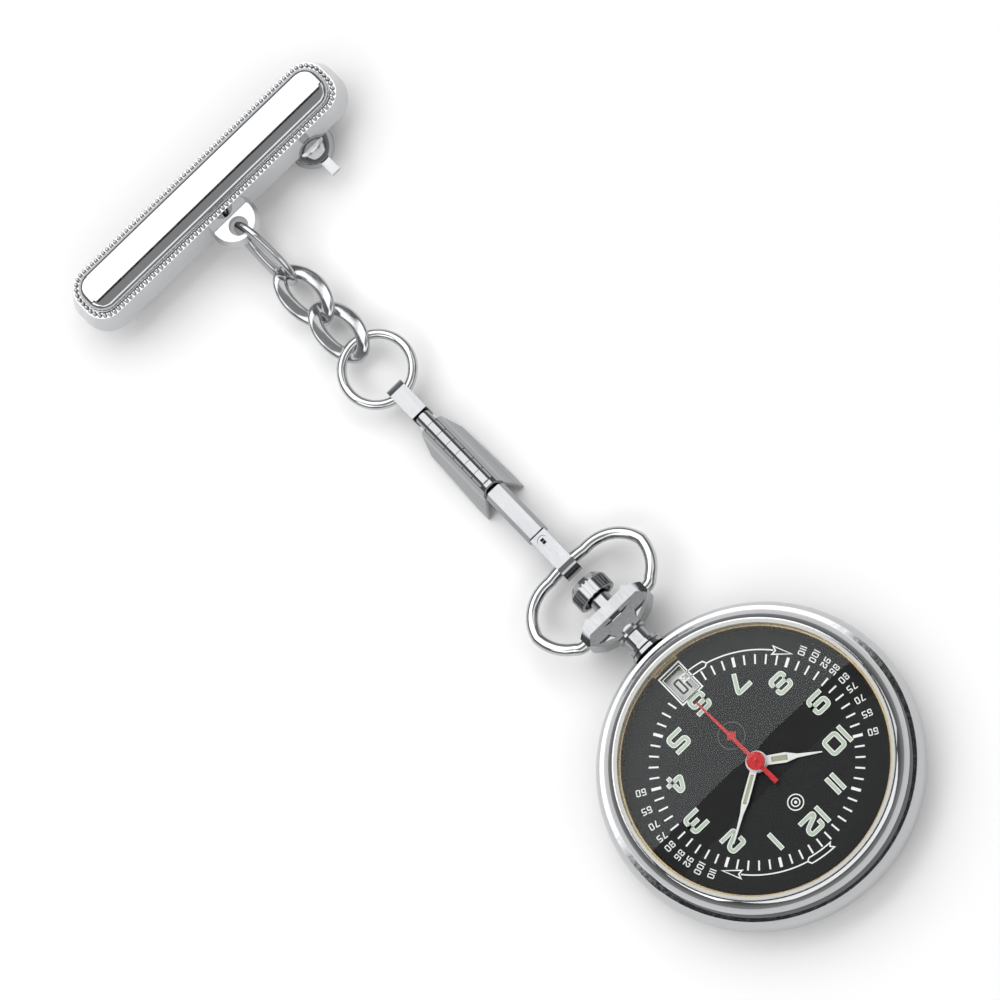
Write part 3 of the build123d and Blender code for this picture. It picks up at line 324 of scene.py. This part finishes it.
def make_materials():
    """Every finish of the watch, by the name of its slot."""
    finishes = {
        "polished_chrome": chrome_material(),
        "tumbled_chrome": chain_material(),
        "pressed_chrome": clip_material(),
        "back_steel": back_material(),
        "crystal": crystal_material(),
        "dial_black": dial_material(),
        "coil_copper": copper_material(),
    }
    metals = {
        "gold_ring": ((0.60, 0.47, 0.28), (0.48, 0.37, 0.21), (0.22, 0.38)),
        "plate_steel": ((0.64, 0.64, 0.62), (0.55, 0.55, 0.54), (0.25, 0.40)),
        "wheel_brass": ((0.78, 0.60, 0.29), (0.66, 0.49, 0.22), (0.20, 0.32)),
        "cell_steel": ((0.72, 0.73, 0.74), (0.62, 0.63, 0.64), (0.18, 0.30)),
        "pin_steel": ((0.66, 0.66, 0.67), (0.56, 0.56, 0.58), (0.14, 0.26)),
    }
    for name, (first, second, rough) in metals.items():
        finishes[name] = surface(
            name, first, second, 1.0, rough, scale=900, relief=0.002, edge=0.04
        )
    paints = {
        "clear_gasket": ((0.62, 0.62, 0.59), (0.54, 0.54, 0.51), (0.15, 0.28)),
        "hand_white": ((0.86, 0.86, 0.84), (0.78, 0.78, 0.76), (0.22, 0.36)),
        "hand_red": ((0.62, 0.012, 0.016), (0.50, 0.008, 0.012), (0.14, 0.26)),
        "date_white": ((0.82, 0.82, 0.80), (0.74, 0.74, 0.72), (0.35, 0.55)),
        "holder_plastic": ((0.80, 0.79, 0.74), (0.70, 0.69, 0.64), (0.38, 0.55)),
        "board_green": ((0.04, 0.22, 0.10), (0.03, 0.16, 0.08), (0.30, 0.45)),
        "seal_rubber": ((0.025, 0.025, 0.026), (0.015, 0.015, 0.016), (0.55, 0.75)),
        "print_white": ((0.95, 0.96, 0.94), (0.90, 0.91, 0.89), (0.45, 0.60)),
        "print_grey": ((0.10, 0.10, 0.10), (0.075, 0.075, 0.075), (0.40, 0.55)),
        "print_black": ((0.02, 0.02, 0.02), (0.03, 0.03, 0.03), (0.40, 0.55)),
        "lume": ((0.53, 0.62, 0.50), (0.46, 0.55, 0.43), (0.60, 0.80)),
        "hand_lume": ((0.42, 0.44, 0.29), (0.34, 0.36, 0.23), (0.60, 0.80)),
    }
    for name, (first, second, rough) in paints.items():
        finishes[name] = painted(name, first, second, rough)
    return finishes


FINISH = make_materials()

CAD_FINISH = {
    "polished_chrome": (
        "case_middle", "bezel", "bow", "jump_ring", "bar_shell", "hanger_lug", "bar_back_plate",
    ),
    "pressed_chrome": (
        "pendant", "crown", "clip_body", "clip_gate", "clip_slide", "catch_housing", "catch_lock",
        "pin_hinge",
    ),
    "tumbled_chrome": ("oval_link", "curb_link_lower", "curb_link_upper"),
    "back_steel": ("case_back",),
    "crystal": ("crystal",),
    "clear_gasket": ("crystal_gasket",),
    "gold_ring": ("dial_ring",),
    "dial_black": ("dial",),
    "hand_white": ("hour_hand", "minute_hand"),
    "hand_red": ("seconds_hand",),
    "date_white": ("date_disc",),
    "holder_plastic": ("movement_holder",),
    "plate_steel": ("main_plate", "train_bridge", "stator", "quartz_can", "battery_clip"),
    "wheel_brass": (
        "centre_wheel", "third_wheel", "seconds_wheel", "minute_wheel", "hour_wheel",
        "intermediate_wheel", "rotor",
    ),
    "cell_steel": ("battery_cell",),
    "coil_copper": ("coil",),
    "board_green": ("circuit_board",),
    "seal_rubber": ("back_gasket", "crown_gasket"),
    "pin_steel": (
        "pin_stem", "hinge_rivet", "bridge_screws", "stem", "crown_tube", "clutch_wheel",
    ),
}


def finish_cad_nodes():
    """Give every CAD node its finish."""
    for finish, nodes in CAD_FINISH.items():
        for node in nodes:
            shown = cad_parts[node]
            shown.data.materials.clear()
            shown.data.materials.append(FINISH[finish])


# ---- mesh building ----
class Solid:
    """Points and faces of one piece, collected in millimetres."""

    def __init__(self):
        self.points = []
        self.faces = []

    def add(self, points, faces):
        """Add points and the faces that join them."""
        start = len(self.points)
        self.points.extend(points)
        self.faces.extend(tuple(start + index for index in face) for face in faces)

    def prism(self, outline, bottom, top):
        """A flat plate with the given outline, which runs anticlockwise."""
        count = len(outline)
        points = [(x, y, bottom) for x, y in outline] + [(x, y, top) for x, y in outline]
        sides = [(i, (i + 1) % count, count + (i + 1) % count, count + i) for i in range(count)]
        caps = [tuple(reversed(range(count))), tuple(range(count, 2 * count))]
        self.add(points, sides + caps)

    def band(self, inner, outer, bottom, top, closed):
        """A strip between two rows of points, as a thin raised print."""
        count = len(inner)
        points = [(x, y, top) for x, y in inner] + [(x, y, top) for x, y in outer]
        points += [(x, y, bottom) for x, y in inner] + [(x, y, bottom) for x, y in outer]
        faces = []
        for i in range(count if closed else count - 1):
            j = (i + 1) % count
            faces.append((i, j, count + j, count + i))
            faces.append((2 * count + j, 2 * count + i, 3 * count + i, 3 * count + j))
            faces.append((j, i, 2 * count + i, 2 * count + j))
            faces.append((count + i, count + j, 3 * count + j, 3 * count + i))
        if not closed:
            last = count - 1
            faces.append((0, count, 3 * count, 2 * count))
            faces.append((count + last, last, 2 * count + last, 3 * count + last))
        self.add(points, faces)

    def piece(self, name, finish, body, smooth=40):
        """Make the mesh object, finish it and let it ride on its body."""
        mesh = bpy.data.meshes.new(name)
        scaled = [tuple(value * MM for value in point) for point in self.points]
        mesh.from_pydata(scaled, [], self.faces)
        mesh.validate()
        mesh.shade_smooth()
        mesh.set_sharp_from_angle(angle=math.radians(smooth))
        mesh.materials.append(FINISH[finish])
        made = bpy.data.objects.new(name, mesh)
        bpy.context.scene.collection.objects.link(made)
        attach(made, body)
        return made


def rounded(points, radius, closed, steps=4):
    """The same route with its corners turned into short curves."""
    count = len(points)
    route = []
    for i, point in enumerate(points):
        corner = Vector(point)
        if not closed and i in (0, count - 1):
            route.append(corner)
            continue
        before = Vector(points[i - 1]) - corner
        after = Vector(points[(i + 1) % count]) - corner
        reach = min(radius, before.length / 2.01, after.length / 2.01)
        start = corner + before.normalized() * reach
        end = corner + after.normalized() * reach
        for step in range(steps + 1):
            share = step / steps
            route.append(start.lerp(corner, share).lerp(corner.lerp(end, share), share))
    return route


def stroke(solid, route, width, bottom, top, closed=False, square_ends=True):
    """A line of print with mitred corners along a route."""
    route = [Vector(point) for point in route]
    count = len(route)
    if not closed and square_ends:
        route[0] += (route[0] - route[1]).normalized() * width / 2
        route[-1] += (route[-1] - route[-2]).normalized() * width / 2
    inner = []
    outer = []
    for i, point in enumerate(route):
        before = point - route[i - 1] if closed or i else route[1] - point
        after = route[(i + 1) % count] - point if closed or i < count - 1 else before
        first = before.normalized().orthogonal()
        second = after.normalized().orthogonal()
        miter = (first + second).normalized()
        reach = width / 2 / max(0.4, miter.dot(first))
        inner.append(tuple(point + miter * reach))
        outer.append(tuple(point - miter * reach))
    solid.band(outer, inner, bottom, top, closed)


# ---- digits: routes in a unit box, each with whether it closes ----
DIGITS = {
    "0": (((0, 0), (1, 0), (1, 1), (0, 1)), True),
    "1": (((0.5, 0), (0.5, 1)), False),
    "2": (((0, 0.72), (0, 1), (1, 1), (1, 0.58), (0, 0.22), (0, 0), (1, 0)), False),
    "3": (((0, 1), (1, 1), (1, 0), (0, 0)), False),
    "4": (((0.72, 0), (0.72, 1), (0.45, 1), (0, 0.28), (1, 0.28)), False),
    "5": (((1, 1), (0, 1), (0, 0.56), (1, 0.56), (1, 0), (0, 0)), False),
    "6": (((1, 1), (0, 1), (0, 0), (1, 0), (1, 0.54), (0, 0.54)), False),
    "7": (((0, 1), (1, 1), (0.38, 0)), False),
    "8": (((0, 0), (1, 0), (1, 1), (0, 1)), True),
    "9": (((0, 0), (1, 0), (1, 1), (0, 1), (0, 0.46), (1, 0.46)), False),
}
CROSS_BARS = {"3": (0.4, 1), "8": (0, 1)}
DIGIT_CORNER = 0.22


class Lettering:
    """Writes numbers on a level face with digits of one size, in one or more layers of stroke."""

    def __init__(self, size, strokes, gap, bottom):
        self.size = size
        self.strokes = strokes
        self.gap = gap
        self.bottom = bottom

    def width_of(self, digit):
        """The width of a digit's route."""
        return 0 if digit == "1" else self.size[0]

    def write(self, text, centre, right):
        """Write a number about a centre, reading along the given direction."""
        right = Vector(right).normalized()
        up = Vector((-right.y, right.x))
        pitch = max(width for _, width in self.strokes) + self.gap
        total = sum(self.width_of(digit) for digit in text) + pitch * (len(text) - 1)
        along = -total / 2
        for digit in text:
            width = self.width_of(digit)
            origin = Vector(centre) + right * (along + width / 2)
            self.digit(digit, origin, right, up)
            along += width + pitch

    def digit(self, digit, origin, right, up):
        """One digit, in every layer of its stroke."""
        width, height = self.size
        routes = [DIGITS[digit]]
        if digit in CROSS_BARS:
            start, end = CROSS_BARS[digit]
            routes.append((((start, 0.5), (end, 0.5)), False))
        for points, closed in routes:
            placed = [
                origin + right * (u - 0.5) * width + up * (v - 0.5) * height for u, v in points
            ]
            route = rounded(placed, DIGIT_CORNER * width, closed)
            for layer, (solid, line) in enumerate(self.strokes):
                bottom = self.bottom + layer * PRINT_LIFT
                stroke(solid, route, line, bottom, bottom + PRINT_LIFT, closed)


def dial_way(angle):
    """The outward direction on the dial at an angle clockwise from twelve."""
    turn = math.radians(angle)
    return Vector((-math.sin(turn), -math.cos(turn)))


def arc(radius, start, end, steps):
    """Points along a circle about the dial's middle, between two dial angles."""
    return [dial_way(start + (end - start) * i / steps) * radius for i in range(steps + 1)]


def build_numerals():
    """The twelve hour numerals: pale lume in a white outline."""
    outline = Solid()
    lume = Solid()
    writer = Lettering(
        NUMERAL_SIZE, [(outline, NUMERAL_OUTLINE), (lume, NUMERAL_STROKE)], NUMERAL_GAP, DIAL_TOP
    )
    for hour in range(1, 13):
        way = dial_way(hour * 30)
        ring = NUMERAL_RING + (QUARTER_SHIFT if hour in QUARTER_HOURS else OTHER_SHIFT)
        writer.write(str(hour), way * ring, (-1, 0))
    outline.piece("numeral_outlines", "print_white", "case")
    lume.piece("numeral_lume", "lume", "case")


def build_scales():
    """Minute ticks, pulse figures, the two arrows and the frame of the date window."""
    white = Solid()
    for minute in range(60):
        if minute in WINDOW_MINUTES:
            continue
        way = dial_way(minute * 6)
        bold = minute % 5 == 0 and minute % 15 != 0
        route = [way * TICK_INNER, way * TICK_OUTER]
        stroke(white, route, TICK_BOLD if bold else TICK_WIDTH, DIAL_TOP, DIAL_TOP + PRINT_LIFT,
               square_ends=False)
    writer = Lettering(PULSE_SIZE, [(white, PULSE_STROKE)], PULSE_GAP, DIAL_TOP)
    for side in (0, 180):
        for rate in PULSE_RATES:
            way = dial_way(side + 360 * PULSE_BEATS / rate)
            reading = way if side == 0 else -way
            writer.write(str(rate), way * PULSE_RING, reading)
        build_arrow(white, side)
    build_date_frame(white)
    white.piece("dial_scales", "print_white", "case")


def build_arrow(solid, side):
    """A pulse arrow: split tail, long arc and open head."""
    top = DIAL_TOP + PRINT_LIFT
    outward, inward = ARROW_TAIL_SPREAD
    start, end = (side + angle for angle in ARROW_TAIL)
    tail = arc(ARROW_RING + outward, start, end, 6)
    tail += [dial_way(side + ARROW_TAIL_TIP) * ARROW_RING]
    tail += reversed(arc(ARROW_RING - inward, start, end, 6))
    tail += [dial_way(side + ARROW_TAIL_NOTCH) * ARROW_RING]
    stroke(solid, tail, ARROW_STROKE, DIAL_TOP, top, closed=True)
    start, end = (side + angle for angle in ARROW_SHAFT)
    stroke(solid, arc(ARROW_RING, start, end, 16), ARROW_STROKE, DIAL_TOP, top)
    head = [
        dial_way(end) * (ARROW_RING - ARROW_BARB_SPREAD),
        dial_way(side + ARROW_BARB_NOTCH) * ARROW_RING,
        dial_way(end) * (ARROW_RING + ARROW_BARB_SPREAD),
        dial_way(side + ARROW_TIP) * ARROW_RING,
    ]
    stroke(solid, head, ARROW_STROKE, DIAL_TOP, top, closed=True)


def build_date_frame(solid):
    """The double outline of the date window."""
    top = DIAL_TOP + PRINT_LIFT
    for half, near, far, width in DATE_FRAMES:
        frame_line = [(-half, near), (half, near), (half, far), (-half, far)]
        stroke(solid, frame_line, width, DIAL_TOP, top, closed=True)


def build_marks():
    """Two plain marks on the dial: a ring with a diamond, and a small ring with a dot."""
    grey = Solid()
    top = DIAL_TOP + PRINT_LIFT
    ring_centre = Vector(RING_MARK_CENTRE)
    ring = [ring_centre + way * RING_MARK_RADIUS for way in arc(1, 0, 352.5, 47)]
    stroke(grey, ring, RING_MARK_STROKE, DIAL_TOP, top, closed=True)
    grey.piece("dial_ring_mark", "print_grey", "case")
    red = Solid()
    diamond = [ring_centre + way * DIAMOND_RADIUS for way in arc(1, 0, -270, 3)]
    red.prism([tuple(corner) for corner in diamond], DIAL_TOP, top)
    red.piece("dial_diamond_mark", "hand_red", "case")
    white = Solid()
    centre = Vector(DOT_MARK_CENTRE)
    for radius in DOT_MARK_RINGS:
        ring = [centre + way * radius for way in arc(1, 0, 350, 35)]
        stroke(white, ring, DOT_MARK_STROKE, DIAL_TOP, top, closed=True)
    dot = [tuple(centre + way * DOT_RADIUS) for way in arc(1, 0, -345, 23)]
    white.prism(dot, DIAL_TOP, top)
    white.piece("dial_dot_mark", "print_white", "case")


def build_dates():
    """The thirty-one dates round the date disc, with the tenth in the window."""
    black = Solid()
    writer = Lettering(DATE_SIZE, [(black, DATE_STROKE)], DATE_GAP, DATE_DISC_TOP)
    for day in range(1, DATES + 1):
        turn = math.radians((day - DATE_SHOWN) * 360 / DATES)
        way = Vector((math.sin(turn), math.cos(turn)))
        writer.write(str(day), way * DATE_RADIUS, (-way.y, way.x))
    black.piece("date_figures", "print_black", "date_disc")


# ---- hands ----
def build_hand_lume(name, node, body, angle, span):
    """The lume that fills the slot of a hand."""
    low, high = corners(node)
    way = dial_way(angle)
    start, end, half = span
    side = Vector((-way.y, way.x)) * half
    outline = [way * start - side, way * end - side, way * end + side, way * start + side]
    solid = Solid()
    bottom, top = low.z + LUME_INSET[0], high.z - LUME_INSET[1]
    solid.prism([tuple(point) for point in outline], bottom, top)
    solid.piece(name, "hand_lume", body)


def lathe(solid, profile, centre, steps):
    """A turned form from (radius, height) points, closed at both ends."""
    rows = len(profile)
    points = []
    for radius, height in profile:
        for step in range(steps):
            turn = 2 * math.pi * step / steps
            x = centre[0] + radius * math.cos(turn)
            y = centre[1] + radius * math.sin(turn)
            points.append((x, y, centre[2] + height))
    faces = []
    for row in range(rows - 1):
        for step in range(steps):
            after = (step + 1) % steps
            faces.append((row * steps + step, row * steps + after,
                          (row + 1) * steps + after, (row + 1) * steps + step))
    faces.append(tuple(reversed(range(steps))))
    faces.append(tuple((rows - 1) * steps + step for step in range(steps)))
    solid.add(points, faces)


def build_hands():
    """Lume fills and the pivot cap of the seconds hand."""
    build_hand_lume("hour_hand_lume", "hour_hand", "hour_train", HOUR_HAND_ANGLE, HOUR_LUME)
    build_hand_lume(
        "minute_hand_lume", "minute_hand", "minute_train", MINUTE_HAND_ANGLE, MINUTE_LUME
    )
    top = corners("seconds_hand")[1].z
    cap = Solid()
    lathe(cap, HAND_CAP, (0, 0, top), CAP_STEPS)
    cap.piece("seconds_hand_cap", "hand_red", "seconds_train")


# ---- bar ----
BEAD_RADIUS = 0.23
BEAD_PITCH = 0.53
BEAD_INSET = 0.95
BEAD_CORNER = 2.0
BEAD_LIFT = 0.2
BEAD_HEIGHTS = (-0.9, -0.62, -0.25, 0.15, 0.5, 0.78, 0.95)
BEAD_STEPS = 10
BAR_LEDGE = 6.8


def bead_route(half_length, half_width, corner, pitch):
    """Evenly spaced points round a rounded rectangle."""
    straight_x = half_length - corner
    straight_y = half_width - corner
    quarter = math.pi / 2 * corner
    length = 4 * (straight_x + straight_y) + 4 * quarter
    count = round(length / pitch)
    points = []
    for i in range(count):
        left = length * i / count
        for turn, run in enumerate((2 * straight_y, 2 * straight_x) * 2):
            way = Matrix.Rotation(turn * math.pi / 2, 2)
            across = (straight_x, straight_y) if turn % 2 == 0 else (straight_y, straight_x)
            if left <= run:
                points.append(way @ Vector((across[0] + corner, -across[1] + left)))
                break
            left -= run
            if left <= quarter:
                angle = left / corner
                round_part = Vector((math.cos(angle), math.sin(angle))) * corner
                points.append(way @ (Vector((across[0], across[1])) + round_part))
                break
            left -= quarter
    return points


def build_beads():
    """The row of beads round the crowned top of the bar."""
    low, high = corners("bar_shell")
    centre = (low + high) / 2
    half_length = high.x - centre.x - BEAD_INSET
    half_width = high.y - centre.y - BEAD_INSET
    beads = Solid()
    profile = [(BEAD_RADIUS * math.sqrt(1 - h * h), BEAD_RADIUS * h) for h in BEAD_HEIGHTS]
    for point in bead_route(half_length, half_width, BEAD_CORNER, BEAD_PITCH):
        place = (centre.x + point.x, centre.y + point.y, BAR_LEDGE + BEAD_LIFT)
        lathe(beads, profile, place, BEAD_STEPS)
    beads.piece("bead_border", "polished_chrome", "bar", 60)


# ---- chain ----
CAD_LINK_LENGTH = {"curb_link_lower": 7.7, "curb_link_upper": 7.7, "oval_link": 8.6}
LINK_HALF_WIDTH = 1.66
LINK_HALF_SECTION = (0.74, 0.46)
LINK_FLAT = 0.38
LINK_STEPS = 72
LINK_SIDE_BOW = 0.9
LINK_END_BOW = 0.85
CURB_TWIST = 38
OVAL_LEANS = (-68, -74)
OVAL_SLOPE = 19.7


def swept(solid, route, frames, section):
    """A closed tube of the given section along a closed route."""
    count = len(route)
    sides = len(section)
    points = []
    for place, (across, over) in zip(route, frames):
        for u, v in section:
            points.append(tuple(place + across * u + over * v))
    faces = []
    for i in range(count):
        j = (i + 1) % count
        for k in range(sides):
            m = (k + 1) % sides
            faces.append((i * sides + k, i * sides + m, j * sides + m, j * sides + k))
    solid.add(points, faces)


def link_section(half_width, half_height, flat, steps=16):
    """A round wire section with its outer face cut flat."""
    points = []
    for step in range(steps):
        turn = 2 * math.pi * step / steps
        u = half_width * math.cos(turn)
        v = min(half_height * math.sin(turn), flat)
        points.append((u, max(v, -flat)))
    return points


def build_link(name, node, body, lean_start, lean_end, slope=0.0):
    """A bulky link in the place of its plain CAD ring, twisted from one lean to another."""
    low, high = corners(node)
    centre = (low + high) / 2
    half_length = CAD_LINK_LENGTH[node] / 2 - LINK_HALF_SECTION[0]
    flat_route = []
    for step in range(LINK_STEPS):
        turn = 2 * math.pi * step / LINK_STEPS
        x = LINK_HALF_WIDTH * math.copysign(abs(math.cos(turn)) ** LINK_SIDE_BOW, math.cos(turn))
        y = half_length * math.copysign(abs(math.sin(turn)) ** LINK_END_BOW, math.sin(turn))
        flat_route.append(Vector((x, y, 0)))
    tip = Matrix.Rotation(slope, 3, "X")
    route = []
    frames = []
    for i, point in enumerate(flat_route):
        along = (flat_route[(i + 1) % LINK_STEPS] - flat_route[i - 1]).normalized()
        share = (point.y / half_length + 1) / 2
        lean = tip @ Matrix.Rotation(lean_start + (lean_end - lean_start) * share, 3, "Y")
        route.append(centre + lean @ point)
        over = lean @ Vector((0, 0, 1))
        across = (lean @ along).cross(over).normalized()
        frames.append((across, over))
    solid = Solid()
    swept(solid, route, frames, link_section(*LINK_HALF_SECTION, LINK_FLAT))
    made = solid.piece(name, "tumbled_chrome", body, 50)
    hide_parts(node)


def build_chain():
    """The three links between the jump ring and the bar."""
    twist = math.radians(CURB_TWIST)
    build_link("curb_link_lower_twisted", "curb_link_lower", "lower_link", -twist, twist)
    build_link("curb_link_upper_twisted", "curb_link_upper", "upper_link", -twist, twist)
    build_link("oval_link_twisted", "oval_link", "oval_link", math.radians(OVAL_LEANS[0]),
               math.radians(OVAL_LEANS[1]), math.radians(OVAL_SLOPE))


# ---- stage ----
FLOOR_HALF = 1500.0
FLOOR_GAP = 0.05
FLOOR_TONE = (0.96, 0.96, 0.96, 1)


def build_floor():
    """A pale plain floor under the watch."""
    made, tree, shader = node_tree("studio_floor")
    shader.inputs["Base Color"].default_value = FLOOR_TONE
    vector = object_point(tree)
    tree.links.new(ranged(tree, noise(tree, vector, 40), 0.55, 0.65), shader.inputs["Roughness"])
    mesh = bpy.data.meshes.new("floor")
    half = FLOOR_HALF * MM
    level = cad_bounds[0][2] - FLOOR_GAP * MM
    mesh.from_pydata(
        [(-half, -half, level), (half, -half, level), (half, half, level), (-half, half, level)],
        [], [(0, 1, 2, 3)]
    )
    mesh.materials.append(made)
    floor = bpy.data.objects.new("floor", mesh)
    bpy.context.scene.collection.objects.link(floor)


def aim(made, place, target, up):
    """Put something at a place, looking at a target with a given up direction."""
    back = (Vector(place) - Vector(target)).normalized()
    right = Vector(up).cross(back).normalized()
    above = back.cross(right)
    turn = Matrix((right, above, back)).transposed().to_4x4()
    made.matrix_world = Matrix.Translation(Vector(place) * MM) @ turn


BOX_HEIGHT = 500.0
SOFT_BOXES = {
    "back_box": ((-520, 128.5), (520, 760), 2.3),
    "front_box": ((-520, -760), (520, -270), 1.5),
    "left_box": ((-760, -250), (-290, 100), 2.3),
    "right_box": ((290, -250), (760, 100), 1.2),
    "top_box": ((-285, -262), (285, 103), 0.35),
}
WALL_GLOW = 0.42
CEILING_GLOW = 0.03
CEILING_START = 0.75


def softbox(name, low, high, glow):
    """A level soft light between two corners in plan, at the height of the lamps."""
    width = (high[0] - low[0]) * MM
    depth = (high[1] - low[1]) * MM
    lamp = bpy.data.lights.new(name, "AREA")
    lamp.shape = "RECTANGLE"
    lamp.size = width
    lamp.size_y = depth
    lamp.energy = math.pi * glow * width * depth
    made = bpy.data.objects.new(name, lamp)
    made.location = ((low[0] + high[0]) / 2 * MM, (low[1] + high[1]) / 2 * MM, BOX_HEIGHT * MM)
    made.visible_camera = False
    bpy.context.scene.collection.objects.link(made)


def build_lights():
    """Four bright soft boxes round a grey one."""
    for name, (low, high, glow) in SOFT_BOXES.items():
        softbox(name, low, high, glow)


def build_world():
    """Pale walls under a dark ceiling, all round the scene."""
    world = bpy.data.worlds.new("studio")
    bpy.context.scene.world = world
    world.use_nodes = True
    tree = world.node_tree
    background = tree.nodes["Background"]
    direction = tree.nodes.new("ShaderNodeTexCoord")
    parts = tree.nodes.new("ShaderNodeSeparateXYZ")
    walls = tree.nodes.new("ShaderNodeMapRange")
    walls.inputs["From Min"].default_value = 0.0
    walls.inputs["From Max"].default_value = CEILING_START
    walls.inputs["To Min"].default_value = WALL_GLOW
    walls.inputs["To Max"].default_value = CEILING_GLOW
    tree.links.new(direction.outputs["Generated"], parts.inputs["Vector"])
    tree.links.new(parts.outputs["Z"], walls.inputs["Value"])
    tree.links.new(walls.outputs["Result"], background.inputs["Strength"])
    background.inputs["Color"].default_value = (1, 1, 1, 1)


CAMERA_DISTANCE = 4000.0
FRAME_WIDTH = 98.8
SENSOR_WIDTH = 36.0
LOOK_AT = Vector((-0.25, 37.42, 5.4))
VIEW_WAY = Vector((0, -0.2538, 0.9673))
VIEW_ROLL = 44.03


def build_camera():
    """A long lens over the watch, turned so that the bar is at the upper left."""
    data = bpy.data.cameras.new("camera")
    data.sensor_width = SENSOR_WIDTH
    data.lens = SENSOR_WIDTH * CAMERA_DISTANCE / FRAME_WIDTH
    data.clip_start = 0.01
    data.clip_end = 20
    made = bpy.data.objects.new("camera", data)
    bpy.context.scene.collection.objects.link(made)
    along = Vector((0, VIEW_WAY.z, -VIEW_WAY.y))
    roll = math.radians(VIEW_ROLL)
    up = Vector((1, 0, 0)) * math.sin(roll) + along * math.cos(roll)
    aim(made, LOOK_AT + VIEW_WAY * CAMERA_DISTANCE, LOOK_AT, up)
    bpy.context.scene.camera = made


finish_cad_nodes()
build_numerals()
build_scales()
build_marks()
build_dates()
build_hands()
build_beads()
build_chain()
build_floor()
build_lights()
build_world()
build_camera()
bpy.context.scene.view_settings.view_transform = "Standard"
